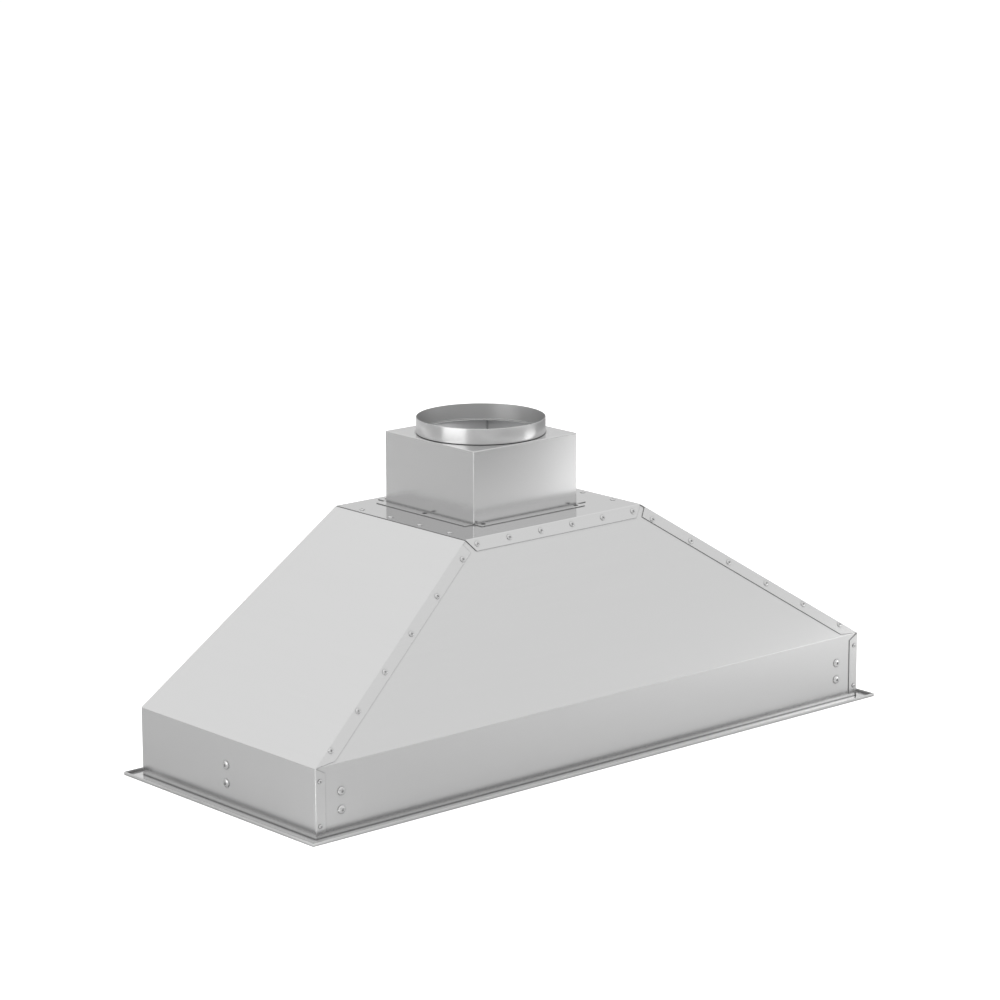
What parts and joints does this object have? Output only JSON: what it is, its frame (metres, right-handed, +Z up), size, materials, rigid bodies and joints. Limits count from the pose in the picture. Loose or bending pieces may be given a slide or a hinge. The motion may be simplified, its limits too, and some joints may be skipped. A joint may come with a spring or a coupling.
{
  "type": "outdoor range hood",
  "caption": "Sheet-metal range hood insert: sloped stainless cabinet on a lipped trim, riveted hips, square duct box with a round collar, blower, damper, baffle filters, lamps and push buttons.",
  "frame": {"origin": "middle of the footprint, on the surface that the trim rests on", "axes": "+X along the long side to the right seen from the front slope, +Y towards the flat back, +Z up along the duct"},
  "size_m": [1.168, 0.464, 0.5014],
  "materials": {
    "brushed_panel": "fine brushed stainless sheet, satin",
    "brushed_trim": "fine brushed stainless sheet, satin",
    "brushed_duct": "finer brushed stainless, brighter than the panels",
    "brushed_collar": "rolled stainless strip, brushed round its length",
    "rivet_steel": "plain domed steel heads",
    "galvanised_steel": "bright zinc coat, dull satin",
    "polished_plate": "polished stainless",
    "filter_steel": "bright stainless strip",
    "button_steel": "turned and polished stainless",
    "lamp_can": "spun aluminium, satin",
    "lamp_lens": "frosted glass",
    "black_plastic": "moulded, fine texture",
    "white_plastic": "moulded, smooth",
    "motor_paint": "black satin paint",
    "motor_casting": "die cast, as cast",
    "bearing_steel": "ground steel",
    "grommet_rubber": "soft moulded rubber",
    "capacitor_can": "drawn aluminium can"
  },
  "bodies": {
    "cabinet": {"back_panel": "brushed_panel", "band_rivets": "rivet_steel", "bracket_screws": "rivet_steel", "cable_gland": "black_plastic", "capacitor_clip": "galvanised_steel", "control_box": "black_plastic", "control_plate": "polished_plate", "damper_frame": "galvanised_steel", "damper_pin": "bearing_steel", "duct_box": "brushed_duct", "duct_collar": "brushed_collar", "face_pan": "brushed_trim", "filter_rails": "brushed_trim", "front_panel": "brushed_panel", "gland_nut": "black_plastic", "hip_rivets": "rivet_steel", "inlet_rings": "galvanised_steel", "junction_box": "galvanised_steel", "junction_cover": "galvanised_steel", "junction_screws": "rivet_steel", "lamp_bezels": "polished_plate", "lamp_cans": "lamp_can", "lamp_lenses": "lamp_lens", "left_panel": "brushed_panel", "motor_bearings": "bearing_steel", "motor_can": "motor_paint", "motor_end_bells": "motor_casting", "motor_grommets": "grommet_rubber", "motor_screws": "rivet_steel", "motor_spider": "galvanised_steel", "outlet_screws": "rivet_steel", "pan_brackets": "galvanised_steel", "right_panel": "brushed_panel", "run_capacitor": "capacitor_can", "scroll_sides": "galvanised_steel", "scroll_wrapper": "galvanised_steel", "switch_blocks": "black_plastic", "terminal_block": "white_plastic", "top_plate": "brushed_panel", "top_rivets": "rivet_steel"},
    "wheel": {"wheel_disc": "galvanised_steel", "wheel_blades": "galvanised_steel", "wheel_bands": "galvanised_steel", "motor_shaft": "bearing_steel"},
    "front_flap": {"front_damper_flap": "galvanised_steel"},
    "rear_flap": {"rear_damper_flap": "galvanised_steel"},
    "filter_1": {"filter_frame_1": "filter_steel", "filter_baffles_1": "filter_steel", "filter_handle_1": "polished_plate"},
    "filter_2": {"filter_frame_2": "filter_steel", "filter_baffles_2": "filter_steel", "filter_handle_2": "polished_plate"},
    "filter_3": {"filter_frame_3": "filter_steel", "filter_baffles_3": "filter_steel", "filter_handle_3": "polished_plate"},
    "stop_button": {"stop_button": "button_steel"},
    "low_button": {"low_button": "button_steel"},
    "medium_button": {"medium_button": "button_steel"},
    "high_button": {"high_button": "button_steel"},
    "lamp_button": {"lamp_button": "button_steel"}
  },
  "joints": [
    {"name": "wheel_spin", "type": "hinge", "parent": "cabinet", "child": "wheel", "pos_m": [0, -0.01306, 0.21025], "axis": [1, 0, 0], "continuous": true},
    {"name": "front_flap_swing", "type": "hinge", "parent": "cabinet", "child": "front_flap", "pos_m": [0, 0.074, 0.3666], "axis": [-1, 0, 0], "range_deg": [0, 75]},
    {"name": "rear_flap_swing", "type": "hinge", "parent": "cabinet", "child": "rear_flap", "pos_m": [0, 0.074, 0.3666], "axis": [1, 0, 0], "range_deg": [0, 75]},
    {"name": "filter_1_lift", "type": "slide", "parent": "cabinet", "child": "filter_1", "axis": [0, 0, 1], "range_m": [0, 0.024]},
    {"name": "filter_2_lift", "type": "slide", "parent": "cabinet", "child": "filter_2", "axis": [0, 0, 1], "range_m": [0, 0.024]},
    {"name": "filter_3_lift", "type": "slide", "parent": "cabinet", "child": "filter_3", "axis": [0, 0, 1], "range_m": [0, 0.024]},
    {"name": "stop_button_press", "type": "slide", "parent": "cabinet", "child": "stop_button", "axis": [0, 0, 1], "range_m": [0, 0.0025], "stiffness_N_per_m": 400, "springref_m": -0.001},
    {"name": "low_button_press", "type": "slide", "parent": "cabinet", "child": "low_button", "axis": [0, 0, 1], "range_m": [0, 0.0025], "stiffness_N_per_m": 400, "springref_m": -0.001},
    {"name": "medium_button_press", "type": "slide", "parent": "cabinet", "child": "medium_button", "axis": [0, 0, 1], "range_m": [0, 0.0025], "stiffness_N_per_m": 400, "springref_m": -0.001},
    {"name": "high_button_press", "type": "slide", "parent": "cabinet", "child": "high_button", "axis": [0, 0, 1], "range_m": [0, 0.0025], "stiffness_N_per_m": 400, "springref_m": -0.001},
    {"name": "lamp_button_press", "type": "slide", "parent": "cabinet", "child": "lamp_button", "axis": [0, 0, 1], "range_m": [0, 0.0025], "stiffness_N_per_m": 400, "springref_m": -0.001}
  ]
}
